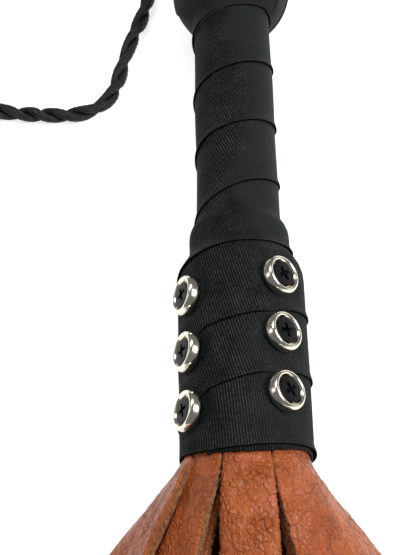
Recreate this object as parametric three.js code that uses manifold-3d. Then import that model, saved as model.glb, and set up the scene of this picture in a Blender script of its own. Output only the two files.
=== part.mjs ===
// Leather whisk (fly swatter): a taped stick handle with a ball end and a wrist loop,
// and a fringe of leather tails screwed round its other end.
//
// Units are millimetres, +Z is up. The handle lies along Y: the ball end is towards +Y and
// the tails run towards -Y. The origin is under the middle of the object, on the surface it
// lies on. Angles round the handle are measured from +Z (top) towards +X.
import * as THREE from "three";
import { mergeVertices } from "three/addons/utils/BufferGeometryUtils.js";
import Module from "manifold-3d";

const wasm = await Module();
wasm.setup();

// ---- Driving dimensions -------------------------------------------------------------
const AXIS_HEIGHT = 20.3; // handle axis above the surface
const TAIL_REACH = 300; // free length of the tails, from the mouth of the collar
const GAP = 0.3; // clearance between pieces that touch on the real object

// Handle, measured along the axis from the mouth of the collar.
const CORE_RADIUS = 11.2;
const CORE_START = 5;
const CORE_SHOULDER = 161.2;
const TENON_RADIUS = 8;
const TENON_END = 172;
const KNOB_CENTRE = 175.6;
const KNOB_BALL_RADIUS = 17;
const KNOB_RADIUS = 19.9;
const CORD_BORE_RADIUS = 5.8;
const CORD_BORE_BOTTOM = 178;
const NECK = 157;

// Leather bands rolled round the core, and the tape over them.
const INNER_BAND_THICKNESS = 2.4;
const OUTER_BAND_THICKNESS = 2.8;
const INNER_BAND_END = 75.5;
const OUTER_BAND_END = 61.5;
const SEAM_WIDTH = 0.8;
const GRIP_TAPE_RADIUS = 12.6;
const STEP_TAPE_RADIUS = 15;
const COLLAR_RADIUS = 18.6;
const COLLAR_END = OUTER_BAND_END + 0.5; // where the tape starts down to the step
const COLLAR_TAPER = 5.5;
const STEP_END = INNER_BAND_END + 0.8; // where the tape starts down to the grip
const STEP_TAPER = 4.7;
const TAPER_LEAD = 2; // the inside of each taper ends this much before the outside

// Screws with cup washers: four columns of three.
const SCREW_ROWS = 3;
const ROW_PITCH = 18;
const FIRST_ROW = 14.2;
const COLUMNS = [
  { name: "A", angle: -55, shift: 0 },
  { name: "B", angle: 36, shift: 2.8 }, // further from the mouth
  { name: "C", angle: 135, shift: 0 },
  { name: "D", angle: 223, shift: 2.8 },
];
const WASHER_SEAT = 17.95; // radius of the washer's underside
const WASHER_RADIUS = 5.9;
const WASHER_HEIGHT = 3;
const WASHER_SHOULDER = 1.8; // height where the rounded rim starts
const WASHER_RIM = 5;
const WASHER_CUP = 4.4; // radius of the cup's mouth
const WASHER_HOLE = 2.6;
const WASHER_THICKNESS = 0.5;
const SHANK_RADIUS = 1.9;
const HEAD_RADIUS = 3.8;
const HEAD_EDGE = 0.5; // depth of the head's edge under its crown
const SCREW_DEPTH = 14; // tip below the washer's underside
const POINT_LENGTH = 3;
const RECESS_LENGTH = 4.4;
const RECESS_WIDTH = 1;
const RECESS_DEPTH = 1.5;

// Tails: eight places round the mouth, an outer and an inner strip at each.
const TAIL_COUNT = 8;
const TAIL_ROOT_SPAN = 38; // degrees of the mouth that one strip takes
const TAIL_WIDTH = 16;
const TAIL_ROOT_GAP = 0.4;
const LAYER_GAP = 0.8;
const FLATTEN_LENGTH = 25;
const FLAT = 1e-5; // share of the root's curl that counts as none
const WIDEN_LENGTH = 20;
const SETTLE_LENGTH = 120; // the tails lie flat from here on
const FAN_DECAY = 70;
const FAN_ONSET = 3;

const WRIST_CORD_RADIUS = 2.5;

// ---- Values that follow -------------------------------------------------------------
const INNER_BAND_RADIUS = CORE_RADIUS + GAP;
const OUTER_BAND_RADIUS = INNER_BAND_RADIUS + INNER_BAND_THICKNESS + GAP;
const BAND_OUTSIDE = OUTER_BAND_RADIUS + OUTER_BAND_THICKNESS;
const KNOB_FACE = Math.sqrt(KNOB_RADIUS ** 2 - CORD_BORE_RADIUS ** 2);
const HANDLE_REACH = KNOB_CENTRE + KNOB_FACE;
const MOUTH_Y = TAIL_REACH - (TAIL_REACH + HANDLE_REACH) / 2;

const rad = THREE.MathUtils.degToRad;

// ---- Materials ----------------------------------------------------------------------
function material(color, roughness, metalness) {
  return new THREE.MeshStandardMaterial({ color, roughness, metalness });
}

const WOOD = material(0xb98a58, 0.7, 0);
const TAPE = material(0x262828, 0.6, 0);
const LEATHER = material(0x9c5632, 0.55, 0);
const NICKEL = material(0xd8d2c6, 0.18, 1);
const BLACK_STEEL = material(0x262627, 0.35, 0.8);
const CORD = material(0x141414, 0.75, 0);

// ---- Helpers ------------------------------------------------------------------------
function points(pairs) {
  return pairs.map(([x, y]) => new THREE.Vector2(x, y));
}

function arc(radius, centre, fromAngle, toAngle, steps) {
  const pairs = [];
  for (let i = 0; i <= steps; i += 1) {
    const angle = fromAngle + ((toAngle - fromAngle) * i) / steps;
    pairs.push([radius * Math.cos(angle), centre + radius * Math.sin(angle)]);
  }
  return pairs;
}

// A turned piece about the Y axis. A ring's outline closes on itself.
function turned(outline, segments, closed = false) {
  const outer = points(closed ? [...outline, outline[0]] : outline);
  return new THREE.LatheGeometry(outer, segments);
}

function solidOf(geometry) {
  const bare = geometry.clone();
  bare.deleteAttribute("normal");
  bare.deleteAttribute("uv");
  const merged = mergeVertices(bare, 1e-4);
  const index = [];
  const source = merged.index.array;
  for (let i = 0; i < source.length; i += 3) {
    const [a, b, c] = [source[i], source[i + 1], source[i + 2]];
    if (a !== b && b !== c && a !== c) {
      index.push(a, b, c);
    }
  }
  return new wasm.Manifold(new wasm.Mesh({
    numProp: 3,
    vertProperties: new Float32Array(merged.attributes.position.array),
    triVerts: new Uint32Array(index),
  }));
}

function geometryOf(solid) {
  const mesh = solid.getMesh();
  const geometry = new THREE.BufferGeometry();
  geometry.setAttribute("position", new THREE.BufferAttribute(mesh.vertProperties, 3));
  geometry.setIndex(new THREE.BufferAttribute(mesh.triVerts, 1));
  return geometry;
}

function cut(geometry, tools) {
  let solid = solidOf(geometry);
  for (const tool of tools) {
    solid = solid.subtract(solidOf(tool));
  }
  return geometryOf(solid);
}

const whisk = new THREE.Group();
const handle = new THREE.Group();
handle.position.set(0, MOUTH_Y, AXIS_HEIGHT);
whisk.add(handle);

function addMesh(parent, name, geometry, look) {
  const mesh = new THREE.Mesh(geometry, look);
  mesh.name = name;
  parent.add(mesh);
  return mesh;
}

// ---- Screw places -------------------------------------------------------------------
function screwPlaces() {
  const places = [];
  for (const column of COLUMNS) {
    for (let row = 0; row < SCREW_ROWS; row += 1) {
      const along = FIRST_ROW + column.shift + row * ROW_PITCH;
      places.push({ name: `${column.name}${row + 1}`, angle: rad(column.angle), along });
    }
  }
  return places;
}

const PLACES = screwPlaces();

// A round cutter pointing outwards at a screw place, between two radii of the handle.
function radialCutter(place, radius, from, to, segments) {
  const cutter = new THREE.CylinderGeometry(radius, radius, to - from, segments);
  cutter.rotateX(Math.PI / 2);
  cutter.translate(0, 0, (from + to) / 2);
  cutter.rotateY(place.angle);
  cutter.translate(0, place.along, 0);
  return cutter;
}

function screwHoles(radius, from, to) {
  return PLACES.map((place) => radialCutter(place, radius, from, to, 8));
}

// ---- Handle -------------------------------------------------------------------------
function handleCore() {
  const stick = turned([
    [0, CORE_START],
    [CORE_RADIUS, CORE_START],
    [CORE_RADIUS, CORE_SHOULDER],
    [TENON_RADIUS, CORE_SHOULDER],
    [TENON_RADIUS, TENON_END],
    [0, TENON_END],
  ], 24);
  const tip = WASHER_SEAT - SCREW_DEPTH;
  return cut(stick, screwHoles(SHANK_RADIUS + GAP, tip - GAP, CORE_RADIUS + 1));
}

function knobBall() {
  const foot = CORE_SHOULDER + GAP;
  const socket = TENON_RADIUS + GAP;
  const low = Math.asin((foot - KNOB_CENTRE) / KNOB_BALL_RADIUS);
  const high = Math.acos(CORD_BORE_RADIUS / KNOB_BALL_RADIUS);
  return turned([
    [0, TENON_END + GAP],
    [socket, TENON_END + GAP],
    [socket, foot],
    ...arc(KNOB_BALL_RADIUS, KNOB_CENTRE, low, high, 8),
    [CORD_BORE_RADIUS, CORD_BORE_BOTTOM],
    [0, CORD_BORE_BOTTOM],
  ], 24);
}

function knobWrap() {
  const inside = KNOB_BALL_RADIUS + GAP;
  const bore = CORE_RADIUS + GAP;
  const foot = NECK + GAP;
  const neckAngle = -Math.acos((GRIP_TAPE_RADIUS + 0.6) / KNOB_RADIUS);
  const rim = Math.acos(CORD_BORE_RADIUS / KNOB_RADIUS);
  const insideRim = Math.acos(CORD_BORE_RADIUS / inside);
  const insideFoot = -Math.acos(bore / inside);
  return turned([
    [bore, foot],
    [GRIP_TAPE_RADIUS, foot],
    ...arc(KNOB_RADIUS, KNOB_CENTRE, neckAngle, rim, 10),
    ...arc(inside, KNOB_CENTRE, insideRim, insideFoot, 7),
  ], 28, true);
}

function band(radius, thickness, end) {
  const roll = turned([
    [radius, 0],
    [radius + thickness, 0],
    [radius + thickness, end],
    [radius, end],
  ], 24, true);
  const seam = new THREE.BoxGeometry(SEAM_WIDTH, 2 * end, 2 * thickness);
  seam.translate(0, end / 2, -(radius + thickness / 2));
  return cut(roll, [seam, ...screwHoles(SHANK_RADIUS + 2 * GAP, radius - 1, radius + thickness + 1)]);
}

function bindingTape() {
  const over = BAND_OUTSIDE + GAP;
  const step = OUTER_BAND_RADIUS;
  const grip = CORE_RADIUS + GAP;
  const sleeve = turned([
    [over, 0],
    [COLLAR_RADIUS, 0],
    [COLLAR_RADIUS, COLLAR_END],
    [STEP_TAPE_RADIUS, COLLAR_END + COLLAR_TAPER],
    [STEP_TAPE_RADIUS, STEP_END],
    [GRIP_TAPE_RADIUS, STEP_END + STEP_TAPER],
    [GRIP_TAPE_RADIUS, NECK],
    [grip, NECK],
    [grip, STEP_END + STEP_TAPER - TAPER_LEAD],
    [step, INNER_BAND_END + GAP],
    [step, COLLAR_END + COLLAR_TAPER - TAPER_LEAD],
    [over, OUTER_BAND_END + GAP],
  ], 30, true);
  const pockets = PLACES.map((place) => (
    radialCutter(place, WASHER_RADIUS + GAP, WASHER_SEAT - GAP, COLLAR_RADIUS + 3, 14)
  ));
  return cut(sleeve, [...screwHoles(SHANK_RADIUS + 2 * GAP, over - 1, WASHER_SEAT), ...pockets]);
}

// ---- Fasteners ----------------------------------------------------------------------
function cupWasher() {
  return turned([
    [WASHER_HOLE, 0],
    [WASHER_RADIUS, 0],
    [WASHER_RADIUS, WASHER_SHOULDER],
    [WASHER_RIM, WASHER_HEIGHT],
    [WASHER_CUP, WASHER_HEIGHT],
    [WASHER_HOLE, WASHER_THICKNESS],
  ], 16, true);
}

function crossScrew() {
  const top = WASHER_HEIGHT;
  const screw = turned([
    [0, -SCREW_DEPTH],
    [SHANK_RADIUS, POINT_LENGTH - SCREW_DEPTH],
    [SHANK_RADIUS, WASHER_THICKNESS + 0.2],
    [HEAD_RADIUS, top - HEAD_EDGE],
    [HEAD_RADIUS - 0.4, top - 0.2],
    [0, top],
  ], 12);
  const slot = new THREE.BoxGeometry(RECESS_LENGTH, 2 * RECESS_DEPTH, RECESS_WIDTH);
  slot.translate(0, top, 0);
  const cross = new THREE.BoxGeometry(RECESS_WIDTH, 2 * RECESS_DEPTH, RECESS_LENGTH);
  cross.translate(0, top, 0);
  return cut(screw, [slot, cross]);
}

function addFasteners() {
  const washer = cupWasher();
  const screw = crossScrew();
  for (const place of PLACES) {
    const spoke = new THREE.Group();
    spoke.position.y = place.along;
    spoke.rotation.y = place.angle;
    handle.add(spoke);
    for (const [kind, shape, look] of [["cup_washer", washer, NICKEL], ["screw", screw, BLACK_STEEL]]) {
      const mesh = addMesh(spoke, `${kind}_${place.name}`, shape, look);
      mesh.rotation.x = Math.PI / 2;
      mesh.position.z = WASHER_SEAT;
    }
  }
}

// ---- Tails --------------------------------------------------------------------------
// Where a tail ends up: the height of the outer strip's inner face once it lies flat, the
// way its grain side faces there, and its heading at the mouth and at the tip, in degrees.
// The side and bottom tails lie on the surface, and the top ones lie over them.
function tailLie(angle) {
  const side = Math.sign(Math.round(100 * Math.sin(rad(angle))));
  const fromTop = Math.abs(angle);
  if (fromTop < 60) {
    return { face: 9.8, turnTo: 0, side, mouth: 17, tip: 5 };
  }
  if (fromTop < 120) {
    return { face: 3.3, turnTo: 0, side, mouth: 46, tip: 14 };
  }
  return { face: OUTER_BAND_THICKNESS, turnTo: 180 * (side || 1), side, mouth: 17, tip: 11 };
}

function smooth(t) {
  const c = Math.min(Math.max(t, 0), 1);
  return c * c * (3 - 2 * c);
}

// Centreline of a tail in plan: sideways and along travel at distance s, summed in short steps.
function planTravel(lie, s) {
  const steps = 40;
  let sideways = 0;
  let along = 0;
  for (let i = 0; i < steps; i += 1) {
    const at = (s * (i + 0.5)) / steps;
    const fan = lie.tip + (lie.mouth - lie.tip) * Math.exp(-at / FAN_DECAY);
    const heading = rad(lie.side * fan * (1 - Math.exp(-at / FAN_ONSET)));
    sideways += (Math.sin(heading) * s) / steps;
    along += (Math.cos(heading) * s) / steps;
  }
  return { sideways, along };
}

function tailFrame(angle, s) {
  const lie = tailLie(angle);
  const settle = 1 - smooth(s / SETTLE_LENGTH);
  const untwist = Math.max(1 - s / SETTLE_LENGTH, 0) ** 1.5;
  const travel = planTravel(lie, s);
  const rootX = OUTER_BAND_RADIUS * Math.sin(rad(angle));
  const rootZ = AXIS_HEIGHT + OUTER_BAND_RADIUS * Math.cos(rad(angle));
  const face = rad(lie.turnTo + (angle - lie.turnTo) * untwist);
  return {
    centre: new THREE.Vector3(
      rootX + travel.sideways,
      MOUTH_Y - TAIL_ROOT_GAP - travel.along,
      lie.face + (rootZ - lie.face) * settle,
    ),
    face,
    settle,
  };
}

// One strip, bent from a block: it leaves the mouth as a segment of a ring and turns into
// a flat strip. Its two faces lie at the heights low and high above the inner face line.
function tailStrip(angle, low, high) {
  const geometry = new THREE.BoxGeometry(1, 1, 1, 3, 16, 1);
  const position = geometry.attributes.position;
  const length = TAIL_REACH - TAIL_ROOT_GAP;
  const step = 0.5;
  for (let i = 0; i < position.count; i += 1) {
    const s = length * (0.5 - position.getY(i)) ** 1.6;
    const here = tailFrame(angle, s);
    const ahead = tailFrame(angle, s + step);
    const run = ahead.centre.clone().sub(here.centre).normalize();
    if (s === 0) {
      run.set(0, -1, 0);
    }
    const normal = new THREE.Vector3(Math.sin(here.face), 0, Math.cos(here.face));
    normal.addScaledVector(run, -normal.dot(run)).normalize();
    const across = new THREE.Vector3().crossVectors(normal, run);
    const rootWidth = OUTER_BAND_RADIUS * rad(TAIL_ROOT_SPAN);
    const width = TAIL_WIDTH - (TAIL_WIDTH - rootWidth) * Math.exp(-s / WIDEN_LENGTH);
    const roll = Math.max(Math.exp(-s / FLATTEN_LENGTH) * here.settle, FLAT);
    const curl = roll / OUTER_BAND_RADIUS;
    const bend = position.getX(i) * width * curl;
    const height = low + (high - low) * (position.getZ(i) + 0.5);
    const point = here.centre.clone();
    point.addScaledVector(across, Math.sin(bend) * (1 / curl + height));
    point.addScaledVector(normal, (Math.cos(bend) - 1) / curl + Math.cos(bend) * height);
    position.setXYZ(i, point.x, point.y, point.z);
  }
  return geometry;
}

function addTails() {
  for (let i = 0; i < TAIL_COUNT; i += 1) {
    const turn = (i * 360) / TAIL_COUNT;
    const angle = turn > 180 ? turn - 360 : turn;
    const outer = tailStrip(angle, 0, OUTER_BAND_THICKNESS);
    const inner = tailStrip(angle, -LAYER_GAP - INNER_BAND_THICKNESS, -LAYER_GAP);
    addMesh(whisk, `outer_tail_${i + 1}`, outer, LEATHER);
    addMesh(whisk, `inner_tail_${i + 1}`, inner, LEATHER);
  }
}

// ---- Wrist cord ---------------------------------------------------------------------
// Both ends go into the bore in the ball. The loop drops to the surface, passes the ball on
// the left and comes back round. Points are x, distance from the mouth, and height.
const CORD_ROUTE = [
  [-2.8, 179, 20.3],
  [-2.8, 191, 20.3],
  [-2.9, 202.5, 19],
  [-5.3, 209.1, 18.6],
  [-9.7, 213.7, 17.2],
  [-14.8, 215.3, 14.6],
  [-21.1, 214.1, 11.7],
  [-25.9, 208.9, 8.5],
  [-27.2, 203.3, 6.7],
  [-28.5, 195, 4.7],
  [-30, 187, 3.2],
  [-32.2, 179.5, 2.7],
  [-34.8, 172, 2.7],
  [-37, 164.5, 2.7],
  [-38.8, 157, 2.7],
  [-40.6, 149.8, 2.7],
  [-43.7, 144, 2.7],
  [-48.8, 140.3, 2.7],
  [-55.5, 138.8, 2.7],
  [-65.5, 139.4, 2.7],
  [-77, 141, 2.7],
  [-88, 144.6, 2.7],
  [-97, 151.6, 2.7],
  [-102.6, 162, 2.7],
  [-104, 174, 2.7],
  [-101.5, 186.5, 2.7],
  [-95.5, 198, 2.7],
  [-86.5, 207.5, 2.7],
  [-74, 215, 2.7],
  [-58, 220.2, 2.7],
  [-40, 223, 2.7],
  [-24, 223.3, 4],
  [-11, 220.3, 7.8],
  [-2.5, 213.5, 13],
  [1.8, 204.5, 17.4],
  [2.9, 194, 19.8],
  [2.8, 179, 20.3],
];

function wristCord() {
  const route = CORD_ROUTE.map(([x, along, z]) => new THREE.Vector3(x, MOUTH_Y + along, z));
  const path = new THREE.CatmullRomCurve3(route, false, "centripetal");
  const section = new THREE.Shape();
  section.absarc(0, 0, WRIST_CORD_RADIUS, 0, 2 * Math.PI);
  return new THREE.ExtrudeGeometry(section, { steps: 56, curveSegments: 5, extrudePath: path });
}

// ---- Assembly -----------------------------------------------------------------------
addMesh(handle, "handle_core", handleCore(), WOOD);
addMesh(handle, "knob_ball", knobBall(), WOOD);
addMesh(handle, "knob_wrap", knobWrap(), TAPE);
addMesh(handle, "inner_leather_band", band(INNER_BAND_RADIUS, INNER_BAND_THICKNESS, INNER_BAND_END), LEATHER);
addMesh(handle, "outer_leather_band", band(OUTER_BAND_RADIUS, OUTER_BAND_THICKNESS, OUTER_BAND_END), LEATHER);
addMesh(handle, "binding_tape", bindingTape(), TAPE);
addFasteners();
addTails();
addMesh(whisk, "wrist_cord", wristCord(), CORD);

export default whisk;
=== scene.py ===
"""A leather whisk fly swatter: taped handle with a ball end and a cord loop, a screwed collar
with cup washers, and pebbled leather tails. Lengths are metres in the CAD model's frame."""
import math
import typing

import bpy
import numpy as np
from mathutils import Matrix, Vector, noise


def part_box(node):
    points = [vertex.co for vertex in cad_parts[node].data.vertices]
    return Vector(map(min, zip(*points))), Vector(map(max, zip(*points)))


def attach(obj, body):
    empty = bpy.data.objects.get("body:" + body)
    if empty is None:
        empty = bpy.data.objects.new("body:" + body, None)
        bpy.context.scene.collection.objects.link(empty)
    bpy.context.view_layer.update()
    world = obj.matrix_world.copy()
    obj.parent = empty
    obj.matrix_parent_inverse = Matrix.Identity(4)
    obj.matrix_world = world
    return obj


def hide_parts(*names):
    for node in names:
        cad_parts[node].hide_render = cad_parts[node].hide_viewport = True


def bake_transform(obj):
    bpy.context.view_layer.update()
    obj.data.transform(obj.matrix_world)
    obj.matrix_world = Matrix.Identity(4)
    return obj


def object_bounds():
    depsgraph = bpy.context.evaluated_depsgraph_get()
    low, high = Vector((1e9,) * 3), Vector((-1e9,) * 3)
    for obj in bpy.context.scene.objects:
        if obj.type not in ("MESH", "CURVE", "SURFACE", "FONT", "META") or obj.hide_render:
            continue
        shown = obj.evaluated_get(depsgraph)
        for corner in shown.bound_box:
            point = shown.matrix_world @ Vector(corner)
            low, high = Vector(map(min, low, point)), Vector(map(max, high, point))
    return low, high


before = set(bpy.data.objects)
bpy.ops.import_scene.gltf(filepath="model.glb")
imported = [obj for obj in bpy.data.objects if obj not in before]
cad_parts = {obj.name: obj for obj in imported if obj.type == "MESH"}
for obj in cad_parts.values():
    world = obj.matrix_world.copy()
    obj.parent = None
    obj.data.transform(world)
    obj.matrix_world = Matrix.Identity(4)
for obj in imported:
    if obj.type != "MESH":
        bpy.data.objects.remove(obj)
CAD_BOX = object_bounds()
MM = 0.001
FULL_TURN = 2 * math.pi

# ---- Places and sizes taken from the frame --------------------------------------------
tape_low, tape_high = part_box("binding_tape")
core_low, core_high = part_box("handle_core")
knob_low, knob_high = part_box("knob_wrap")
MOUTH_Y = tape_low.y
AXIS_Z = (core_low.z + core_high.z) / 2
COLLAR_RADIUS = (tape_high.x - tape_low.x) / 2 / MM
KNOB_RADIUS = (knob_high.x - knob_low.x) / 2 / MM
NECK = (tape_high.y - MOUTH_Y) / MM
KNOB_CENTRE = 175.6

# ---- Camera ---------------------------------------------------------------------------
CAMERA_PLACE = (0.0015, -0.0799, 0.3510)
CAMERA_AIM = (-0.0097, 0.1150, 0.0203)
CAMERA_ROLL = math.radians(-1.24)
CAMERA_LENS = 83.9


def make_camera():
    data = bpy.data.cameras.new("camera")
    data.lens = CAMERA_LENS
    data.clip_start = 0.02
    camera = bpy.data.objects.new("camera", data)
    bpy.context.scene.collection.objects.link(camera)
    aim = Vector(CAMERA_AIM) - Vector(CAMERA_PLACE)
    side = aim.cross(Vector((0, 1, 0))).normalized()
    up = side.cross(aim).normalized()
    turn = Matrix((side, up, -aim.normalized())).transposed()
    turn = turn @ Matrix.Rotation(CAMERA_ROLL, 3, "Z")
    camera.matrix_world = Matrix.Translation(CAMERA_PLACE) @ turn.to_4x4()
    bpy.context.scene.camera = camera


make_camera()


# ---- Mesh helpers ---------------------------------------------------------------------
def smooth(t):
    t = np.clip(t, 0, 1)
    return t * t * (3 - 2 * t)


def loft(name, rings, joined=False, lie=None, parts=None):
    """A closed skin through rings of points, shaped (rings, points, 3). joined closes the
    sweep on itself; otherwise flat caps close its ends. lie holds a vector for each point,
    which the materials read, and parts a material index for each point of a ring."""
    rings = np.asarray(rings, float)
    count, around, _ = rings.shape
    mesh = bpy.data.meshes.new(name)
    index = np.arange(count * around).reshape(count, around)
    here = index if joined else index[:-1]
    ahead = np.roll(index, -1, 0) if joined else index[1:]
    quads = np.stack([here, np.roll(here, -1, 1), np.roll(ahead, -1, 1), ahead], -1)
    faces = quads.reshape(-1, 4).tolist()
    if not joined:
        faces.append(index[0][::-1].tolist())
        faces.append(index[-1].tolist())
    mesh.from_pydata(rings.reshape(-1, 3).tolist(), [], faces)
    for polygon in mesh.polygons:
        polygon.use_smooth = True
    if lie is not None:
        attribute = mesh.attributes.new("lie", "FLOAT_VECTOR", "POINT")
        attribute.data.foreach_set("vector", np.asarray(lie, np.float32).reshape(-1))
    if parts is not None:
        picks = np.tile(np.asarray(parts), here.shape[0]).tolist()
        picks += [] if joined else [parts[0], parts[0]]
        mesh.polygons.foreach_set("material_index", picks)
    piece = bpy.data.objects.new(name, mesh)
    bpy.context.scene.collection.objects.link(piece)
    return piece


def face_outwards(piece):
    """Turns the mesh right side out, from the sign of the volume it encloses."""
    mesh = piece.data
    mesh.calc_loop_triangles()
    points = np.array([v.co for v in mesh.vertices])
    corners = points[np.array([t.vertices for t in mesh.loop_triangles])]
    volume = np.einsum("ij,ij->i", corners[:, 0], np.cross(corners[:, 1], corners[:, 2])).sum()
    if volume < 0:
        mesh.flip_normals()
    return piece


def around_axis(angle, radius, along):
    """Places round the handle in the CAD frame, from an angle (0 at the top, growing towards
    +X), and a radius and a distance from the mouth in mm."""
    angle, radius, along = np.broadcast_arrays(angle, radius, along)
    return np.stack([
        radius * np.sin(angle) * MM,
        MOUTH_Y + along * MM,
        AXIS_Z + radius * np.cos(angle) * MM,
    ], -1)


def catmull(points, steps):
    """A smooth centripetal curve through points, as steps + 1 evenly spaced places."""
    p = np.asarray(points, float)
    p = np.vstack([2 * p[0] - p[1], p, 2 * p[-1] - p[-2]])
    dense = []
    for i in range(1, len(p) - 2):
        knots = [0.0]
        for a, b in ((i - 1, i), (i, i + 1), (i + 1, i + 2)):
            knots.append(knots[-1] + max(np.linalg.norm(p[b] - p[a]) ** 0.5, 1e-9))
        t = np.linspace(knots[1], knots[2], 24, endpoint=False)[:, None]
        a1 = (knots[1] - t) / knots[1] * p[i - 1] + t / knots[1] * p[i]
        span = knots[2] - knots[1]
        a2 = (knots[2] - t) / span * p[i] + (t - knots[1]) / span * p[i + 1]
        last = knots[3] - knots[2]
        a3 = (knots[3] - t) / last * p[i + 1] + (t - knots[2]) / last * p[i + 2]
        b1 = (knots[2] - t) / knots[2] * a1 + t / knots[2] * a2
        b2 = (knots[3] - t) / (knots[3] - knots[1]) * a2
        b2 = b2 + (t - knots[1]) / (knots[3] - knots[1]) * a3
        dense.append((knots[2] - t) / span * b1 + (t - knots[1]) / span * b2)
    dense = np.vstack([*dense, p[-2][None]])
    run = np.concatenate([[0], np.cumsum(np.linalg.norm(np.diff(dense, axis=0), axis=1))])
    even = np.linspace(0, run[-1], steps + 1)
    return np.stack([np.interp(even, run, dense[:, k]) for k in range(3)], -1), run[-1]


# ---- Material helpers -----------------------------------------------------------------
class Shader:
    """Builds one node material with the Principled shader."""

    def __init__(self, name, roughness=0.5, metallic=0.0, **sockets):
        self.material = bpy.data.materials.new(name)
        self.material.use_nodes = True
        self.tree = self.material.node_tree
        self.surface = self.tree.nodes["Principled BSDF"]
        self.surface.inputs["Roughness"].default_value = roughness
        self.surface.inputs["Metallic"].default_value = metallic
        for socket, value in sockets.items():
            self.surface.inputs[socket.replace("_", " ")].default_value = value
        self.lie = self.node("ShaderNodeAttribute", attribute_name="lie").outputs["Vector"]

    def node(self, kind, inputs=None, **settings):
        made = self.tree.nodes.new(kind)
        for key, value in settings.items():
            setattr(made, key, value)
        for key, value in (inputs or {}).items():
            if isinstance(value, bpy.types.NodeSocket):
                self.tree.links.new(value, made.inputs[key])
            else:
                made.inputs[key].default_value = value
        return made

    def noise(self, vector, scale, detail=3.0, roughness=0.55):
        inputs = {"Vector": vector, "Scale": scale, "Detail": detail, "Roughness": roughness}
        return self.node("ShaderNodeTexNoise", inputs).outputs["Fac"]

    def cells(self, vector, scale, feature="DISTANCE_TO_EDGE"):
        inputs = {"Vector": vector, "Scale": scale}
        made = self.node("ShaderNodeTexVoronoi", inputs, feature=feature)
        return made.outputs["Distance"]

    def local_mm(self):
        """Places in the piece's own coordinates, in mm."""
        place = self.node("ShaderNodeTexCoord").outputs["Object"]
        return self.stretch(place, (1000.0, 1000.0, 1000.0))

    def math(self, operation, a, b=0.0):
        return self.node("ShaderNodeMath", {0: a, 1: b}, operation=operation).outputs[0]

    def remap(self, value, low, high, to_low=0.0, to_high=1.0):
        inputs = {0: value, 1: low, 2: high, 3: to_low, 4: to_high}
        return self.node("ShaderNodeMapRange", inputs).outputs[0]

    def stretch(self, vector, factors):
        inputs = {"Vector": vector, "Scale": factors}
        return self.node("ShaderNodeMapping", inputs).outputs[0]

    def ramp(self, value, stops):
        made = self.node("ShaderNodeValToRGB", {"Fac": value})
        ramp = made.color_ramp
        while len(ramp.elements) < len(stops):
            ramp.elements.new(0.5)
        for element, (place, colour) in zip(ramp.elements, stops):
            element.position = place
            element.color = (*colour, 1)
        return made.outputs["Color"]

    def mix(self, factor, a, b, blend="MIX"):
        made = self.node("ShaderNodeMix", data_type="RGBA", blend_type=blend)
        for key, value in ((0, factor), (6, a), (7, b)):
            if isinstance(value, bpy.types.NodeSocket):
                self.tree.links.new(value, made.inputs[key])
            else:
                made.inputs[key].default_value = value if key == 0 else (*value, 1)
        return made.outputs[2]

    def bump(self, height, strength, distance, below=None):
        inputs = {"Height": height, "Strength": strength, "Distance": distance}
        if below is not None:
            inputs["Normal"] = below
        return self.node("ShaderNodeBump", inputs).outputs["Normal"]

    def finish(self, colour=None, roughness=None, normal=None):
        for socket, value in (("Base Color", colour), ("Roughness", roughness), ("Normal", normal)):
            if value is not None:
                self.tree.links.new(value, self.surface.inputs[socket])
        return self.material


def linear(red, green, blue):
    """A colour given in sRGB 0 to 255, as the linear values the shader takes."""
    steps = [c / 255 for c in (red, green, blue)]
    return tuple(c / 12.92 if c <= 0.04045 else ((c + 0.055) / 1.055) ** 2.4 for c in steps)


# ---- Materials ------------------------------------------------------------------------
def tape_material():
    """Black friction tape: matt, with a fine weave. Its rib crests carry a painted highlight,
    partly wear, and a band on the right is paler with fainter ribs, which is wear and also painted
    light from the lamp on that side.
    """
    s = Shader("tape", roughness=0.6, Specular_IOR_Level=0.07)
    split = s.node("ShaderNodeSeparateXYZ", {"Vector": s.lie})
    # The lie's Z part marks the band on the right of the grip, and the whole knob. There the rib
    # highlight is painted fainter, which is painted light from the lamp on that side as well as
    # wear.
    wear = s.remap(split.outputs["Z"], 0.0, 1.0, 1.0, 0.3)
    # Painted highlight along the ribs: the crests are painted paler than the valleys, partly as
    # wear.
    beat = s.math("COSINE", s.math("MULTIPLY", split.outputs["X"], FULL_TURN / RIB_PITCH))
    beat = s.math("MULTIPLY", s.remap(beat, -0.2, 1.0), wear)
    threads = s.cells(s.stretch(s.lie, (1.0, 1.6, 1.0)), 2.4, "F1")
    cloud = s.noise(s.lie, 0.12, 4.0)
    speck = s.noise(s.lie, 3.0, 2.0)
    colour = s.ramp(cloud, [(0.3, linear(5, 7, 7)), (0.7, linear(16, 19, 18))])
    rib_highlight_and_wear = s.math("MULTIPLY", beat, s.remap(cloud, 0.35, 0.65, 0.4, 1.0))
    weave = s.noise(s.stretch(s.lie, (1.0, 0.7, 0.0)), 1.6, 2.0)
    rib_highlight_and_wear = s.math("MULTIPLY", rib_highlight_and_wear, s.remap(weave, 0.35, 0.65, 0.15, 1.25))
    # Paler where the lie's Z part is high: on the band on the right this is wear and painted light
    # from the lamp on that side; on the knob it covers the whole ball.
    colour = s.mix(split.outputs["Z"], colour, linear(28, 32, 31))
    colour = s.mix(rib_highlight_and_wear, colour, linear(64, 69, 67))
    colour = s.mix(s.remap(speck, 0.5, 0.8, 0.0, 0.3), colour, linear(48, 52, 50))
    rough = s.remap(speck, 0.3, 0.7, 0.5, 0.7)
    normal = s.bump(threads, 0.35, 0.0001)
    return s.finish(colour, rough, s.bump(cloud, 0.3, 0.0003, normal))


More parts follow.
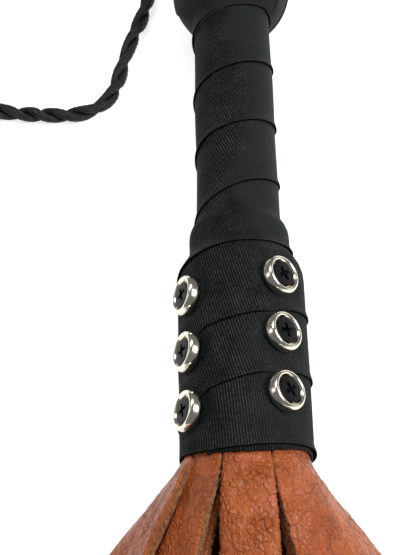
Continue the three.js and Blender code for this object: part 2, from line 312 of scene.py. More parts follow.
def tape_edge_material():
    """The cut edges of the tape: dull black."""
    s = Shader("tape_edge", roughness=0.9, Specular_IOR_Level=0.02)
    threads = s.noise(s.lie, 2.5, 3.0)
    colour = s.ramp(threads, [(0.3, linear(3, 3, 3)), (0.7, linear(12, 13, 13))])
    return s.finish(colour, None, s.bump(threads, 0.6, 0.0002))


def leather_material():
    """Orange-brown full-grain leather: thin cracks between patches of about 4 mm, pebbles of
    about 1.5 mm, and pores. The Z part of lie is how deep the modelled grain is there."""
    s = Shader("leather", roughness=0.45, Specular_IOR_Level=0.3)
    deep = s.node("ShaderNodeSeparateXYZ", {"Vector": s.lie}).outputs["Z"]
    flat = s.stretch(s.lie, (1.0, 0.8, 0.0))
    bend = s.node("ShaderNodeTexNoise", {"Vector": flat, "Scale": 0.5, "Detail": 3.0})
    bend = s.node("ShaderNodeVectorMath", {0: bend.outputs["Color"], 1: (2.2, 2.2, 0.0)},
                  operation="MULTIPLY").outputs[0]
    where = s.node("ShaderNodeVectorMath", {0: flat, 1: bend}, operation="ADD").outputs[0]
    cracks = s.cells(where, 0.24)
    pebbles = s.cells(where, 0.7)
    worn = s.noise(flat, 0.16, 2.0)
    pores = s.noise(flat, 4.0, 3.0)
    cloud = s.noise(flat, 0.09, 4.0)
    colour = s.ramp(cloud, [(0.25, linear(142, 66, 27)), (0.5, linear(165, 82, 36)),
                            (0.78, linear(182, 98, 48))])
    # Painted shade: darker in the hollows of the modelled grain, by their depth.
    colour = s.mix(s.remap(deep, 0.1, 0.9, 0.0, 0.5), colour, linear(108, 46, 20))
    lines = s.math("MULTIPLY", s.remap(pebbles, 0.0, 0.08, 0.34, 0.0),
                   s.remap(worn, 0.42, 0.64, 0.1, 1.0))
    colour = s.mix(lines, colour, linear(104, 46, 22))
    split = s.math("MULTIPLY", s.remap(cracks, 0.0, 0.04, 0.65, 0.0),
                   s.remap(worn, 0.4, 0.58, 1.0, 0.0))
    colour = s.mix(split, colour, linear(92, 40, 16))
    rough = s.remap(s.math("ADD", deep, s.math("MULTIPLY", pores, 0.5)), 0.1, 0.9, 0.24, 0.56)
    normal = s.bump(s.remap(cracks, 0.0, 0.06), 0.45, 0.0003)
    crowns = s.math("MULTIPLY", s.remap(pebbles, 0.0, 0.3), s.remap(worn, 0.42, 0.62, 0.2, 1.0))
    normal = s.bump(crowns, 0.9, 0.0005, normal)
    return s.finish(colour, rough, s.bump(pores, 0.25, 0.0001, normal))


def raw_material(name, light, dark, scale):
    """Cut or suede leather: matt, fibrous, tan."""
    s = Shader(name, roughness=0.95, Specular_IOR_Level=0.15, Sheen_Weight=0.12)
    fibres = s.noise(s.stretch(s.lie, (1.0, 0.6, 1.0)), scale, 5.0, 0.75)
    colour = s.ramp(fibres, [(0.36, dark), (0.64, light)])
    return s.finish(colour, None, s.bump(fibres, 1.0, 0.0008))


def metal_material(name, colour, roughness, wear):
    """Plated metal, a little duller and rougher in cloudy patches."""
    s = Shader(name, roughness=roughness, metallic=1.0)
    marks = s.noise(s.local_mm(), wear, 4.0, 0.7)
    tint = s.mix(s.remap(marks, 0.35, 0.75, 0.0, 0.25), colour, tuple(0.6 * c for c in colour))
    rough = s.remap(marks, 0.3, 0.75, roughness * 0.8, roughness * 1.3)
    return s.finish(tint, rough, s.bump(marks, 0.02, 0.0001))


def screw_material():
    """Black oxide on steel."""
    s = Shader("black_screw", roughness=0.5, Specular_IOR_Level=0.14)
    marks = s.noise(s.local_mm(), 1.3, 4.0, 0.7)
    colour = s.ramp(marks, [(0.35, linear(5, 5, 6)), (0.72, linear(17, 17, 18))])
    return s.finish(colour, s.remap(marks, 0.3, 0.7, 0.32, 0.55), s.bump(marks, 0.1, 0.0001))


def cord_material():
    """Black twisted synthetic cord: fine fibres along each strand."""
    s = Shader("cord", roughness=0.55, Specular_IOR_Level=0.22)
    fibres = s.noise(s.stretch(s.lie, (1.0, 0.16, 1.0)), 2.2, 4.0, 0.7)
    colour = s.ramp(fibres, [(0.4, linear(3, 4, 4)), (0.66, linear(52, 56, 53))])
    return s.finish(colour, None, s.bump(fibres, 0.8, 0.0003))


def wood_material():
    """Plain sanded hardwood with its grain along the stick."""
    s = Shader("wood", roughness=0.65)
    grain = s.noise(s.stretch(s.local_mm(), (0.6, 0.03, 0.6)), 1.0, 4.0, 0.6)
    colour = s.ramp(grain, [(0.3, linear(136, 96, 58)), (0.7, linear(190, 146, 98))])
    return s.finish(colour, None, s.bump(grain, 0.3, 0.0002))


def band_material():
    """The leather of the bands under the tape: tan and fibrous."""
    s = Shader("band_leather", roughness=0.9, Specular_IOR_Level=0.15)
    fibres = s.noise(s.local_mm(), 0.9, 5.0, 0.7)
    colour = s.ramp(fibres, [(0.35, linear(112, 58, 30)), (0.65, linear(160, 96, 58))])
    return s.finish(colour, None, s.bump(fibres, 0.5, 0.0003))


def floor_material():
    """The pale studio floor, which glows a little so that shadows stay faint."""
    s = Shader("floor", roughness=0.9, Specular_IOR_Level=0.1)
    place = s.node("ShaderNodeTexCoord").outputs["Object"]
    speck = s.noise(place, 40.0, 2.0)
    colour = s.ramp(speck, [(0.3, (0.61, 0.61, 0.61)), (0.7, (0.63, 0.63, 0.63))])
    s.surface.inputs["Emission Color"].default_value = (1, 1, 1, 1)
    s.surface.inputs["Emission Strength"].default_value = 0.76
    return s.finish(colour)


RIB_PITCH = 0.8  # spacing of the tape's ribs, mm
TAPE = tape_material()
TAPE_EDGE = tape_edge_material()
LEATHER = leather_material()
RAW_EDGE = raw_material("raw_edge", linear(200, 128, 72), linear(78, 34, 14), 1.6)
SUEDE = raw_material("suede", linear(150, 92, 56), linear(96, 52, 28), 1.4)
NICKEL = metal_material("nickel", (0.80, 0.75, 0.64), 0.17, 0.6)
BLACK_SCREW = screw_material()
CORD = cord_material()
WOOD = wood_material()
BAND_LEATHER = band_material()

# ---- Wrist cord -----------------------------------------------------------------------
# The route of the CAD cord: x, distance from the mouth, and height, in mm.
CORD_ROUTE = [
    (-2.8, 179, 20.3), (-2.8, 191, 20.3), (-2.9, 202.5, 19), (-5.3, 209.1, 18.6),
    (-9.7, 213.7, 17.2), (-14.8, 215.3, 14.6), (-21.1, 214.1, 11.7), (-25.9, 208.9, 8.5),
    (-27.2, 203.3, 6.7), (-28.5, 195, 4.7), (-30, 187, 3.2), (-32.2, 179.5, 2.7),
    (-34.8, 172, 2.7), (-37, 164.5, 2.7), (-38.8, 157, 2.7), (-40.6, 149.8, 2.7),
    (-43.7, 144, 2.7), (-48.8, 140.3, 2.7), (-55.5, 138.8, 2.7), (-65.5, 139.4, 2.7),
    (-77, 141, 2.7), (-88, 144.6, 2.7), (-97, 151.6, 2.7), (-102.6, 162, 2.7),
    (-104, 174, 2.7), (-101.5, 186.5, 2.7), (-95.5, 198, 2.7), (-86.5, 207.5, 2.7),
    (-74, 215, 2.7), (-58, 220.2, 2.7), (-40, 223, 2.7), (-24, 223.3, 4),
    (-11, 220.3, 7.8), (-2.5, 213.5, 13), (1.8, 204.5, 17.4), (2.9, 194, 19.8),
    (2.8, 179, 20.3),
]
CORD_DIAMETER = 5.0
CORD_TWIST = 21.5  # length of one full turn of the two strands
STRAND_OFFSET = 1.28
STRAND_WIDTH = 1.7
STRAND_DEPTH = 1.3
STRAND_PLIES = 9  # fine ridges round each strand
CORD_THICKNESS = (0.97, 0.08)  # the strands' thickness against the figures above, and its range


def strand_section(points_each):
    """Two flattened strands side by side, as one outline."""
    half = []
    waist = math.acos(-STRAND_OFFSET / STRAND_DEPTH)
    for angle in np.linspace(-waist, waist, points_each, endpoint=False):
        swell = 1 + 0.06 * math.cos(STRAND_PLIES * angle)
        across = STRAND_OFFSET + STRAND_DEPTH * swell * math.cos(angle)
        half.append((across, STRAND_WIDTH * swell * math.sin(angle)))
    half = np.array(half)
    return np.vstack([half, -half])


def make_cord():
    route = [(x * MM, MOUTH_Y + along * MM, z * MM) for x, along, z in CORD_ROUTE]
    path, length = catmull(route, 620)
    section = strand_section(26)
    run = np.gradient(path, axis=0)
    run /= np.linalg.norm(run, axis=1)[:, None]
    side = np.empty_like(run)
    side[0] = (1, 0, 0)
    for i in range(1, len(run)):
        carried = side[i - 1] - run[i] * side[i - 1].dot(run[i])
        side[i] = carried / np.linalg.norm(carried)
    other = np.cross(run, side)
    distance = np.linspace(0, length / MM, len(path))
    loose = np.array([noise.noise(Vector((0.07 * d, 0.5, 0))) for d in distance])
    thick = np.array([noise.noise(Vector((0.13 * d, 7.5, 0))) for d in distance])
    turn = FULL_TURN * distance / CORD_TWIST + 1.6 * loose
    scale = (CORD_THICKNESS[0] + CORD_THICKNESS[1] * thick)[:, None]
    cos, sin = scale * np.cos(turn)[:, None], scale * np.sin(turn)[:, None]
    a = section[:, 0] * cos - section[:, 1] * sin
    b = section[:, 0] * sin + section[:, 1] * cos
    rings = path[:, None] + (a[..., None] * side[:, None] + b[..., None] * other[:, None]) * MM
    around = np.linspace(0, math.pi * CORD_DIAMETER, len(section))
    lie = np.stack(np.broadcast_arrays(around[None], distance[:, None], 0.0), -1)
    piece = face_outwards(loft("twisted_cord", rings, lie=lie))
    piece.data.materials.append(CORD)
    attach(piece, "handle")
    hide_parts("wrist_cord")


make_cord()

# ---- Screws and cup washers -----------------------------------------------------------
COLUMNS = "ABCD"
ROWS = (1, 2, 3)
RIM = [math.radians(a) for a in range(0, 91, 7)]
LIP = [math.radians(a) for a in range(105, 166, 15)]
WASHER_OUTLINE = [
    (2.7, 0.5), (2.7, 0.15), (2.85, 0.0), (5.6, 0.0), (5.85, 0.12), (5.92, 0.4),
    *((4.87 + 1.05 * math.cos(a), 0.9 + 2.1 * math.sin(a)) for a in RIM),
    *((4.87 + 0.55 * math.cos(a), 2.45 + 0.55 * math.sin(a)) for a in LIP),
    (4.2, 2.4), (3.5, 1.7),
]
SCREW_OUTLINE = [
    (0.0, -13.8), (0.5, -13.3), (1.85, -11.0), (1.85, 0.8), (3.7, 2.4), (3.8, 2.5),
    (3.8, 2.6), (3.72, 2.67), (3.5, 2.7), (2.2, 2.78), (1.0, 2.82), (0.0, 2.84),
]
# How far the seats of each column lean over, in degrees towards growing angles.
SEAT_LEAN = {"A": -5.0, "B": 7.0, "C": 0.0, "D": 0.0}
# How far the cross recess of some screws is turned, in degrees.
SCREW_TURNS = {"A1": 8.0, "A2": 5.0, "A3": 12.0, "B1": 38.0, "B2": 14.0, "B3": 36.0}


class Seat:
    """Where one screw and its washer sit on the handle."""

    def __init__(self, name):
        self.name = name
        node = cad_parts["cup_washer_" + name]
        points = np.array([v.co for v in node.data.vertices])
        middle = points.mean(0)
        self.angle = math.atan2(middle[0], middle[2] - AXIS_Z)
        self.along = (middle[1] - MOUTH_Y) / MM
        outwards = np.array([math.sin(self.angle), 0, math.cos(self.angle)])
        self.radius = ((points - [0, 0, AXIS_Z]) @ outwards).min() / MM
        self.turn = SCREW_TURNS.get(name, 37.0 * (COLUMNS.index(name[0]) * 3 + int(name[1])))

    def matrix(self):
        place = Vector(around_axis(self.angle, self.radius, self.along))
        outwards = Matrix.Rotation(self.angle + math.radians(SEAT_LEAN[self.name[0]]), 4, "Y")
        turn = Matrix.Rotation(math.radians(self.turn), 4, "Z")
        return Matrix.Translation(place) @ outwards @ turn


SEATS = [Seat(f"{column}{row}") for column in COLUMNS for row in ROWS]


def turned(name, outline, segments, ring):
    """A turned piece about Z, in metres. A ring's outline closes on itself."""
    outline = np.array(outline)
    angles = np.linspace(0, FULL_TURN, segments, endpoint=False)
    if ring:
        rings = np.stack([
            np.outer(np.cos(angles), outline[:, 0]),
            np.outer(np.sin(angles), outline[:, 0]),
            np.outer(np.ones(segments), outline[:, 1]),
        ], -1) * MM
        piece = loft(name, rings, joined=True, lie=rings / MM)
    else:
        outline = outline[1:-1]
        rings = np.stack([
            np.outer(outline[:, 0], np.cos(angles)),
            np.outer(outline[:, 0], np.sin(angles)),
            np.outer(outline[:, 1], np.ones(segments)),
        ], -1) * MM
        piece = loft(name, rings, lie=rings / MM)
    return face_outwards(piece)


def recess_cutter():
    """The cross of a number 2 driver: four tapering wings round a pointed centre."""
    top, bottom = 3.1, 1.05
    wing, thick = 2.4, 0.6
    cutters = []
    for angle in (0, math.pi / 2):
        rings = []
        for height, reach, half in ((top, wing, thick), (bottom, 0.8, 0.36)):
            corners = [(reach, half), (-reach, half), (-reach, -half), (reach, -half)]
            rings.append([(x * MM, y * MM, height * MM) for x, y in corners])
        bar = face_outwards(loft("wing", rings))
        bar.data.transform(Matrix.Rotation(angle, 4, "Z"))
        cutters.append(bar)
    return cutters


def cut_recess(screw):
    for cutter in recess_cutter():
        modifier = screw.modifiers.new("cut", "BOOLEAN")
        modifier.object = cutter
        modifier.operation = "DIFFERENCE"
        modifier.solver = "EXACT"
        depsgraph = bpy.context.evaluated_depsgraph_get()
        cut = bpy.data.meshes.new_from_object(screw.evaluated_get(depsgraph))
        screw.modifiers.clear()
        screw.data = cut
        bpy.data.objects.remove(cutter)


def soften_edges(piece, degrees):
    """Smooth shading with sharp edges kept where two faces meet at more than degrees."""
    piece.data.set_sharp_from_angle(angle=math.radians(degrees))


def make_fasteners():
    washer = turned("cup", WASHER_OUTLINE, 96, ring=True)
    screw = turned("pin", SCREW_OUTLINE, 48, ring=False)
    cut_recess(screw)
    soften_edges(screw, 40)
    soften_edges(washer, 50)
    for source, look, slot, names in (
        (washer, NICKEL, "nickel", ("nickel_cup_", "cup_washer_")),
        (screw, BLACK_SCREW, "black_steel", ("cross_screw_", "screw_")),
    ):
        source.data.materials.clear()
        source.data.materials.append(look)
        for seat in SEATS:
            piece = bpy.data.objects.new(names[0] + seat.name, source.data.copy())
            bpy.context.scene.collection.objects.link(piece)
            piece.matrix_world = seat.matrix()
            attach(piece, "handle")
            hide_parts(names[1] + seat.name)
        bpy.data.objects.remove(source)


make_fasteners()

# ---- Binding tape ---------------------------------------------------------------------
# Distance from the mouth of each turn's lower edge, at the top of the handle, and how
# steeply it climbs there, in mm for a full turn.
TURN_EDGES = np.array([0, 20.2, 39.2, 63.8, 86.9, 109.5, 132.5, 157.2, 180.0])
TURN_CLIMB = np.array([16, 30, 25, 16, 28, 24, 24, 18, 18.0])
MOUTH_RISE = 3.6  # how much further from the tails the tape's edge is at the sides
TAPE_THICKNESS = 0.45
TAPE_TUCK = 2.5  # how far each turn reaches under the next
RIB_HEIGHT = 0.1
RIB_SKEW = math.radians(4)  # the ribs' lean away from square to the tape
RIB_SAMPLES = 4  # rows of the mesh for each rib
TAPE_TURNS = (-0.6, 7.32)  # where the tape starts and ends
COLLAR_TOP = 62.0
GRIP_RADIUS = 12.6
LAP_LENGTH = 3.4  # how far each turn takes to settle after it steps over the one below
LAP_HEIGHT = 0.66
FIRST_TURN_START = math.radians(-36)
FIRST_TURN_SPAN = math.radians(352)
FIRST_TURN_SHOWN = math.radians(200)  # how much of it sticks out past the tape over it
FIRST_TURN_TOP = 24.0
FIRST_TURN_INSIDE = 17.3
TAPE_PROFILE = np.array([
    (-10, 18.6), (59, 18.6), (61, 18.45), (63.5, 17.7), (66.5, 15.9), (68.5, 15.15),
    (70.5, 15.0), (74.5, 15.0), (76.5, 14.7), (79.5, 13.0), (81.5, 12.65), (84, 12.6), (200, 12.6),
])


def edge_place(turn):
    """Distance of the tape's lower edge from the mouth, turn turns along the tape."""
    turn = np.asarray(turn, float)
    k = np.clip(np.floor(turn).astype(int), 0, len(TURN_EDGES) - 2)
    t = np.clip(turn - k, 0, 1)
    a, b = TURN_EDGES[k], TURN_EDGES[k + 1]
    m, n = TURN_CLIMB[k], TURN_CLIMB[k + 1]
    climb = (2 * t**3 - 3 * t**2 + 1) * a + (t**3 - 2 * t**2 + t) * m
    climb = climb + (3 * t**2 - 2 * t**3) * b + (t**3 - t**2) * n
    return np.where(turn < 0, MOUTH_RISE * np.abs(np.sin(FULL_TURN * turn)) ** 3.2, climb)


def washer_dent(angle, along, radius):
    """How far the tape is pressed in round the cup washers."""
    dent = np.zeros(np.broadcast(angle, along).shape)
    for seat in SEATS:
        sideways = radius * np.sin(angle - seat.angle)
        near = np.hypot(sideways, along - seat.along)
        facing = np.cos(angle - seat.angle) > 0.3
        floor = np.maximum(radius - (seat.radius - 0.12), 0)
        press = 1 - smooth((near - 6.0) / 3.2)
        lip = 0.1 * np.exp(-(((near - 9.2) / 1.2) ** 2))
        dent = dent + np.where(facing, floor * press - lip, 0)
    return dent


def tape_radius(angle, along):
    radius = np.interp(along, TAPE_PROFILE[:, 0], TAPE_PROFILE[:, 1]) - 0.05
    unevenness = 0.10 * np.sin(2.1 * angle + along / 9) + 0.07 * np.sin(3 * angle - along / 6.3)
    return radius + unevenness


def even_turns(first, last):
    """Places along the tape, in turns, evenly spaced along its lower edge, RIB_SAMPLES to a
    rib, with the length run and the tape's lean there."""
    turns = np.linspace(first, last, 9000)
    low = edge_place(turns)
    radius = tape_radius(FULL_TURN * turns, low)
    climb = np.gradient(low, turns)
    step = np.hypot(FULL_TURN * radius, climb) * (turns[1] - turns[0])
    run = np.cumsum(step)
    even = np.arange(run[0], run[-1], RIB_PITCH / RIB_SAMPLES)
    lean = np.arctan2(climb, FULL_TURN * radius)
    lean = np.convolve(np.pad(lean, 300, "edge"), np.ones(601) / 601, "valid")
    return np.interp(even, run, turns), even, np.interp(even, run, lean)


def wear_and_lit_band(angle, along):
    """A broad band on the right, from 0 to 1, where the ribs are lower and the tape is paler: wear,
    and painted light from the lamp on that side.
    """
    turned_by = np.degrees((angle + np.pi) % FULL_TURN - np.pi)
    patchy = 14 * np.sin(along / 11.0) + 9 * np.sin(along / 4.3 + 2 * angle)
    worn = smooth((turned_by + 6 + patchy) / 34)
    on_grip = 0.45 + 0.55 * smooth((along - COLLAR_TOP) / 15)
    return on_grip * worn * (1 - smooth((turned_by - 118 + patchy) / 40))


def make_tape():
    """One long strip wound up the handle. Each row of its mesh lies along a rib, square to
    the tape's edges, and each turn's top margin goes under the next turn."""
    turns, run, lean = even_turns(*TAPE_TURNS)
    lean = lean + RIB_SKEW
    low = edge_place(turns)
    radius = tape_radius(FULL_TURN * turns, low)
    width = np.full(len(turns), 22.0)
    for _ in range(6):
        back = width * np.sin(lean) / (FULL_TURN * radius)
        width = (edge_place(turns + 1 - back) - low + TAPE_TUCK) / np.cos(lean)
    share = np.concatenate([[0, 0.006], np.linspace(0.03, 0.2, 6), np.linspace(0.25, 1, 15)])
    across = width[:, None] * share[None]
    angle = FULL_TURN * turns[:, None] - across * np.sin(lean)[:, None] / radius[:, None]
    along = low[:, None] + across * np.cos(lean)[:, None]
    base = tape_radius(angle, along)
    wobble = np.array([noise.noise(Vector((0.05 * v, 3.0, 0))) for v in run])[:, None]
    lap = LAP_HEIGHT * (1 + 0.5 * wobble) * (1 - smooth(across / LAP_LENGTH))
    lap = lap * smooth((turns[:, None] + 0.2) / 0.4)
    along = along + 0.5 * wobble * (1 - share)
    beat = np.cos(FULL_TURN * run / RIB_PITCH)[:, None]
    # The band also goes to the material through the lie, which paints it paler, a painted light.
    wear = wear_and_lit_band(angle, along)
    ribs = RIB_HEIGHT * beat * smooth(across / 0.4) * (1 - 0.7 * wear)
    top = base + lap + ribs - washer_dent(angle, along, base + lap)
    thin = smooth((width[:, None] - across) / 1.0)
    under = base + lap * thin - TAPE_THICKNESS - washer_dent(angle, along, base)
    top[:, 0] -= 0.12
    picks = [22, 17, 12, 8, 5, 2, 0]
    rings = around_axis(
        np.hstack([angle, angle[:, picks]]),
        np.hstack([top, under[:, picks]]),
        np.hstack([along, along[:, picks]]),
    )
    lie = np.stack(np.broadcast_arrays(
        run[:, None], np.hstack([across, across[:, picks]]), np.hstack([wear, wear[:, picks]])), -1)
    parts = [1] + [0] * (rings.shape[1] - 2) + [1]
    piece = loft("tape_winding", rings, lie=lie, parts=parts)
    piece.data.materials.append(TAPE)
    piece.data.materials.append(TAPE_EDGE)
    face_outwards(piece)
    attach(piece, "handle")
    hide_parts("binding_tape")


def make_under_tape():
    """The first turn of tape, which shows as a second edge at the mouth with a frayed end."""
    start = FIRST_TURN_START
    angle = np.linspace(start, start + FIRST_TURN_SPAN, 700)[:, None]
    shown = 1 - smooth((angle - start - FIRST_TURN_SHOWN) / 0.5)
    edge = 4.4 * np.sin(angle) ** 2 + 1.4 - 2.3 * shown
    fray = np.exp(-((angle - start) / 0.07) ** 2)
    ragged = np.array([noise.noise(Vector((9.0 * float(a), 0, 0))) for a in angle[:, 0]])[:, None]
    edge = edge - 0.9 * fray - 0.25 * ragged
    share = np.linspace(0, 1, 10)[None]
    along = edge + (FIRST_TURN_TOP - edge) * share
    outside = tape_radius(angle, along) - TAPE_THICKNESS - 0.06
    outside = outside - washer_dent(angle, along, tape_radius(angle, along))
    inside = np.full_like(outside, FIRST_TURN_INSIDE)
    rings = around_axis(
        angle, np.hstack([outside, inside[:, ::-1]]), np.hstack([along, along[:, ::-1]]))
    lie = np.stack(np.broadcast_arrays(
        angle * COLLAR_RADIUS, np.hstack([along, along[:, ::-1]]), 0.0), -1)
    piece = face_outwards(loft("tape_first_turn", rings, lie=lie))
    piece.data.materials.append(TAPE)
    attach(piece, "handle")


make_tape()
make_under_tape()


# ---- Ball end -------------------------------------------------------------------------
PLEATS = 9
PLEAT_HEIGHT = 0.45
PLEAT_TWIST = 2.2  # how many pleats each one slants over on its way up the ball
BORE_RADIUS = 5.8
NECK_RADIUS = GRIP_RADIUS + 0.5
NECK_SLANT = 4.1  # how far the tape's edge at the neck slants to each side


def make_knob():
    """Tape lapped over the ball in slanting pleats from the neck to the cord's hole."""
    angle = np.linspace(0, FULL_TURN, 360, endpoint=False)[:, None]
    neck = NECK + 0.2 + NECK_SLANT * np.sin(angle)
    low = -math.acos(NECK_RADIUS / KNOB_RADIUS)
    rim = math.acos(BORE_RADIUS / KNOB_RADIUS)
    polar = np.linspace(low, rim, 84)[None]
    ball_r = KNOB_RADIUS * np.cos(polar) + 0 * angle
    ball_y = KNOB_CENTRE + KNOB_RADIUS * np.sin(polar) + 0 * angle
    height = (polar - low) / (rim - low)
    fold = (angle * PLEATS / FULL_TURN + PLEAT_TWIST * height) % 1
    shed = PLEAT_HEIGHT * (1 - fold) ** 1.5 * smooth(height / 0.12) * smooth((1 - height) / 0.08)
    shed = shed + 0.12 * np.sin(5 * angle + 6 * polar) * smooth(height / 0.2)
    normal_r, normal_y = np.cos(polar), np.sin(polar)
    ball_r = ball_r + (shed - 0.35) * normal_r
    ball_y = ball_y + (shed - 0.35) * normal_y
    collar = np.linspace(0, 1, 8)[None]
    neck_r = NECK_RADIUS + 0 * angle + 0 * collar
    neck_y = neck + (ball_y[:, :1] - 0.3 - neck) * collar
    inner_r = np.array([[BORE_RADIUS - 0.3, BORE_RADIUS, KNOB_RADIUS - 2.4, 11.6, 11.6]])
    inner_r = inner_r + 0 * angle
    inner_y = KNOB_CENTRE + np.array([[18.2, 16.4, 0, -12.8, 0]]) + 0 * angle
    inner_y[:, -1:] = neck + 0.1
    radius = np.hstack([neck_r, ball_r, inner_r])
    along = np.hstack([neck_y, ball_y, inner_y])
    rings = around_axis(angle, radius, along)
    lie = np.stack(np.broadcast_arrays(angle * 16, along, 1.0), -1)
    piece = face_outwards(loft("knob_tape", rings, joined=True, lie=lie))
    piece.data.materials.append(TAPE)
    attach(piece, "handle")
    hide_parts("knob_wrap")


make_knob()

# ---- Tails ----------------------------------------------------------------------------
# They lie as the CAD tails do, apart from what HANGS changes near the mouth.
TAIL_ANGLES = {1: 0, 2: 45, 3: 90, 4: 135, 5: 180, 6: -135, 7: -90, 8: -45}
ROOT_RADIUS = 14.2  # of the outer strips' inner faces at the mouth
OUTER_THICKNESS = 2.8
INNER_THICKNESS = 2.4
LAYER_GAP = 0.8
ROOT_SPAN = math.radians(44.0)
TAIL_WIDTH = 16.0
TAIL_REACH = 299.6
ROOT_INSIDE = 6.0  # how far each strip starts inside the collar
SETTLE_LENGTH = 120.0  # how far from the mouth each strip comes down to its plain lie
FINE_LENGTH = 34.0  # how much of each strip has the finer mesh


def tail_lie(angle):
    """Height of the outer strip's inner face at rest, the way its grain side then faces, and
    its heading at the mouth and at the tip."""
    side = np.sign(round(100 * math.sin(math.radians(angle))))
    if abs(angle) < 60:
        return 9.8, 0.0, side, 17.0, 5.0
    if abs(angle) < 120:
        return 3.3, 0.0, side, 46.0, 14.0
    return OUTER_THICKNESS, 180.0 * (side or 1), side, 17.0, 11.0


class Hang(typing.NamedTuple):
    """How a strip differs near the mouth from its plain lie, in mm and degrees."""

    early: float = 0.0  # how far inside the mouth's plane it starts to spread
    drop: float = 0.0  # how much less it spreads there
    roll: float = 0.0  # how far it rolls over, towards growing angles
    lift: float = 0.0  # how far its edge at the growing angle stands up
    wide: float = 0.0  # how much wider that side of it is


HANGS = {
    1: Hang(),
    2: Hang(early=2, drop=-3, wide=2.2),
    3: Hang(early=5, drop=17),
    4: Hang(early=2),
    5: Hang(),
    6: Hang(early=2),
    7: Hang(early=7, drop=8, lift=1.9, wide=3.8),
    8: Hang(early=2, drop=-7, roll=-16),
}


def tail_frame(angle, s, hang):
    """The middle of a tail's inner face, which way its grain side faces, and how much it has
    still to settle, from 1 to 0, at the distances s from the mouth."""
    face, turn_to, side, mouth, tip = tail_lie(angle)
    s = s + hang.early
    reach = np.maximum(s, 0)
    settle = 1 - smooth(reach / SETTLE_LENGTH)
    untwist = np.clip(1 - reach / SETTLE_LENGTH, 0, 1) ** 1.5
    fine = np.linspace(0, TAIL_REACH + 5, 1200)
    fan = tip + (mouth - tip) * np.exp(-fine / 70) - hang.drop * np.exp(-fine / 25)
    heading = np.radians(side * fan * (1 - np.exp(-fine / 3)))
    step = fine[1] - fine[0]
    sideways = np.concatenate([[0], np.cumsum(np.sin(heading))[:-1] * step])
    onwards = np.concatenate([[0], np.cumsum(np.cos(heading))[:-1] * step])
    root = math.radians(angle)
    x = ROOT_RADIUS * math.sin(root) + np.interp(reach, fine, sideways)
    along = hang.early - np.interp(reach, fine, onwards) - 0.4 - np.minimum(s, 0)
    root_z = AXIS_Z / MM + ROOT_RADIUS * math.cos(root)
    z = face + (root_z - face) * settle
    roll = hang.roll * smooth(reach / 14) * np.exp(-reach / 60)
    turn = np.radians(turn_to + (angle - turn_to) * untwist + roll)
    return np.stack([x, MOUTH_Y / MM + along, z], -1), turn, settle


def grain(lateral, s, seed):
    """The leather's surface at places on a strip, in mm: height, and how deep in a hollow
    it is from 0 to 1. Pebbles, stronger in some patches, and long soft wrinkles."""
    height = np.empty(lateral.size)
    depth = np.empty(lateral.size)
    for i, (across, along) in enumerate(zip(lateral.ravel(), s.ravel())):
        here = (0.3 * across + seed, 0.3 * along)
        bent_across = across + 1.5 * noise.noise(Vector((*here, 0)))
        bent_along = along + 1.5 * noise.noise(Vector((*here, 21.7)))
        near = noise.voronoi(Vector((bent_across * 0.46, bent_along * 0.38, seed)))[0]
        pebble = min((near[1] - near[0]) * 2.8, 1.0)
        wrinkle = noise.noise(Vector((across * 0.2 + seed, along * 0.045, 3.1 * seed)))
        strength = 0.5 + 1.4 * noise.noise(Vector((across * 0.09, along * 0.09, seed + 9.0)))
        strength = min(max(strength, 0.06), 1.0)
        height[i] = 0.27 * strength * pebble + 0.45 * wrinkle
        depth[i] = strength * max(1 - pebble * 2.0, 0)
    return height.reshape(lateral.shape), depth.reshape(lateral.shape)


def strip_section(columns, low, high):
    """The outline of a strip's section: place across (-0.5 to 0.5), height, and its kind: 0
    for the grain side, 1 for a cut edge and 2 for the flesh side."""
    cut = np.linspace(high, low, 7)[1:-1]
    top = [(u, high, 0) for u in np.linspace(-0.5, 0.5, columns)]
    right = [(0.5, h, 1) for h in cut]
    under = [(u, low, 2) for u in np.linspace(0.5, -0.5, columns // 3)]
    left = [(-0.5, h, 1) for h in cut[::-1]]
    return np.array(top + right + under + left)


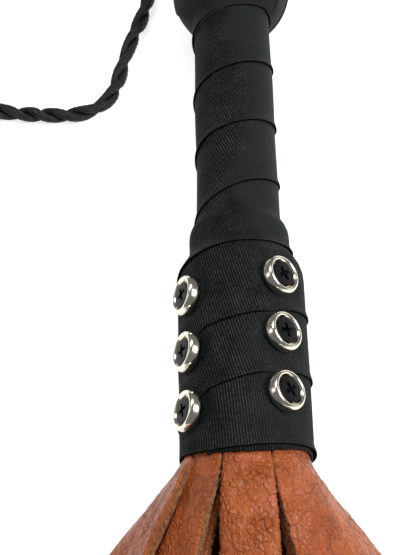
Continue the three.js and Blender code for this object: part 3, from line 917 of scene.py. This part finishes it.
def make_tail(number, kind):
    angle = TAIL_ANGLES[number]
    name = f"{kind}_tail_{number}"
    outer = kind == "outer"
    low, high = (0.0, OUTER_THICKNESS) if outer else (-LAYER_GAP - INNER_THICKNESS, -LAYER_GAP)
    step, columns = (0.4, 41) if outer else (0.8, 21)
    near = np.arange(-ROOT_INSIDE, FINE_LENGTH, step)
    far = FINE_LENGTH + (TAIL_REACH - FINE_LENGTH) * np.linspace(0, 1, 110) ** 1.2
    s = np.concatenate([near, far])
    hang = HANGS[number] if outer else Hang(early=HANGS[number].early, drop=HANGS[number].drop)
    centre, turn, settle = tail_frame(angle, s, hang)
    run = np.gradient(centre, s, axis=0)
    run /= np.linalg.norm(run, axis=1)[:, None]
    normal = np.stack([np.sin(turn), 0 * turn, np.cos(turn)], -1)
    normal -= run * (normal * run).sum(1)[:, None]
    normal /= np.linalg.norm(normal, axis=1)[:, None]
    across = np.cross(normal, run)
    section = strip_section(columns, low, high)
    u, level, part = section[:, 0][None], section[:, 1][None], section[:, 2][None]
    root_width = ROOT_RADIUS * ROOT_SPAN
    reach = np.maximum(s, 0)
    width = (TAIL_WIDTH - (TAIL_WIDTH - root_width) * np.exp(-reach / 20))[:, None]
    curl = (np.maximum(np.exp(-reach / 25) * settle, 1e-5) / ROOT_RADIUS)[:, None]
    lateral = u * width + hang.wide * smooth((s[:, None] + 6) / 5) * smooth(u + 0.5)
    distance = np.broadcast_to(s[:, None], lateral.shape)
    seed = number * 7.3 + (0 if outer else 60)
    bumps, depth = grain(lateral, distance, seed)
    fuzz = np.array([
        noise.noise(Vector((2.2 * a, 1.6 * b, seed + c)))
        for a, b, c in zip(distance.ravel(), np.broadcast_to(level, lateral.shape).ravel(),
                           np.sign(lateral).ravel())
    ]).reshape(lateral.shape)
    ease = smooth((s[:, None] + 1) / 5)
    edge = smooth((np.abs(u) - 0.46) / 0.04)
    height = level + np.where(part == 0, bumps * ease - 0.3 * edge, 0.15 * fuzz * (part == 2))
    height = height + hang.lift * smooth((s[:, None] + 4.5) / 7) * smooth((u - 0.1) / 0.4)
    lateral = lateral + np.where(part == 1, np.sign(u) * (0.15 + 0.65 * fuzz) * ease, 0)
    bend = lateral * curl
    point = centre[:, None] + across[:, None] * (np.sin(bend) * (1 / curl + height))[..., None]
    point = point + normal[:, None] * ((np.cos(bend) - 1) / curl + np.cos(bend) * height)[..., None]
    point[..., 2] = np.maximum(point[..., 2], 0)
    grown = lateral + 40.0 * number
    third = np.where(part == 0, depth, level)
    lie = np.stack(np.broadcast_arrays(grown, distance, third), -1)
    kinds = section[:, 2].astype(int)
    faces = np.maximum(kinds, np.roll(kinds, -1))
    faces[kinds != np.roll(kinds, -1)] = 1
    piece = loft(name + "_leather", point * MM, lie=lie, parts=faces.tolist())
    for look in (LEATHER, RAW_EDGE, SUEDE):
        piece.data.materials.append(look)
    face_outwards(piece)
    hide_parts(name)
    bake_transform(piece)


for number in TAIL_ANGLES:
    make_tail(number, "outer")
    make_tail(number, "inner")

# ---- CAD nodes that stay ---------------------------------------------------------------
for node, look in (
    ("handle_core", WOOD), ("knob_ball", WOOD),
    ("inner_leather_band", BAND_LEATHER), ("outer_leather_band", BAND_LEATHER),
):
    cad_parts[node].data.materials.clear()
    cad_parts[node].data.materials.append(look)


# ---- Floor and light ------------------------------------------------------------------
def make_floor():
    mesh = bpy.data.meshes.new("floor")
    half = 12.0
    corners = [(-half, -half, 0), (half, -half, 0), (half, half, 0), (-half, half, 0)]
    mesh.from_pydata(corners, [], [(0, 1, 2, 3)])
    floor = bpy.data.objects.new("floor", mesh)
    floor.location.z = CAD_BOX[0][2] - 0.0002
    bpy.context.scene.collection.objects.link(floor)
    mesh.materials.append(floor_material())


def make_light(name, place, aim, size, power):
    data = bpy.data.lights.new(name, "AREA")
    data.shape = "RECTANGLE"
    data.size, data.size_y = size
    data.energy = power
    light = bpy.data.objects.new(name, data)
    light.location = place
    direction = Vector(aim) - Vector(place)
    light.rotation_euler = direction.to_track_quat("-Z", "Y").to_euler()
    bpy.context.scene.collection.objects.link(light)


def make_world():
    world = bpy.data.worlds.new("studio")
    world.use_nodes = True
    sky = world.node_tree.nodes["Background"]
    sky.inputs["Color"].default_value = (1, 1, 1, 1)
    sky.inputs["Strength"].default_value = 0.18
    bpy.context.scene.world = world


make_floor()
make_world()
make_light("key", (0.55, 0.0, 0.75), (0, 0.08, 0), (0.4, 0.5), 7.4)
make_light("top", (-0.15, 0.45, 0.85), (0, 0.1, 0), (0.7, 0.3), 3.2)
make_light("left", (-0.7, 0.05, 0.45), (0, 0.1, 0), (0.25, 0.6), 0.6)
bpy.context.scene.view_settings.view_transform = "Standard"
